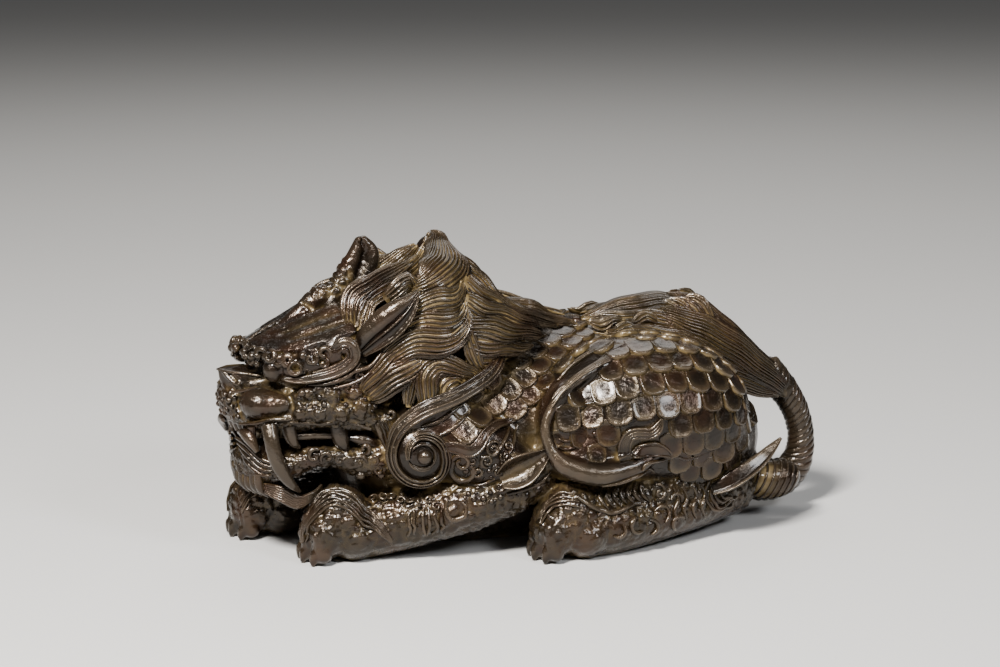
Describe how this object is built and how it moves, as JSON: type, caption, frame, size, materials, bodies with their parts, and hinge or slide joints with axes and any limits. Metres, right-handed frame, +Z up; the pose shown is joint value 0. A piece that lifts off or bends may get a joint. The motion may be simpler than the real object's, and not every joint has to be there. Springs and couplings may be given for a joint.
{
  "type": "bronze qilin statue",
  "caption": "Small cast statue of a lying qilin with a horned head, curling mane, scaled flanks and a looped tail, resting on its belly and paws.",
  "frame": {"origin": "centre of the footprint box, on the surface that the statue rests on", "axes": "+X towards the tail, -X towards the head, -Y is the beast's left side, which its head turns towards, +Z up"},
  "size_m": [0.1257, 0.0634, 0.0618],
  "materials": {
    "bronze": "dark brown patina, polished on the high points, with ochre dust in the recesses"
  },
  "bodies": {
    "root": {"qilin": "bronze"}
  },
  "joints": []
}
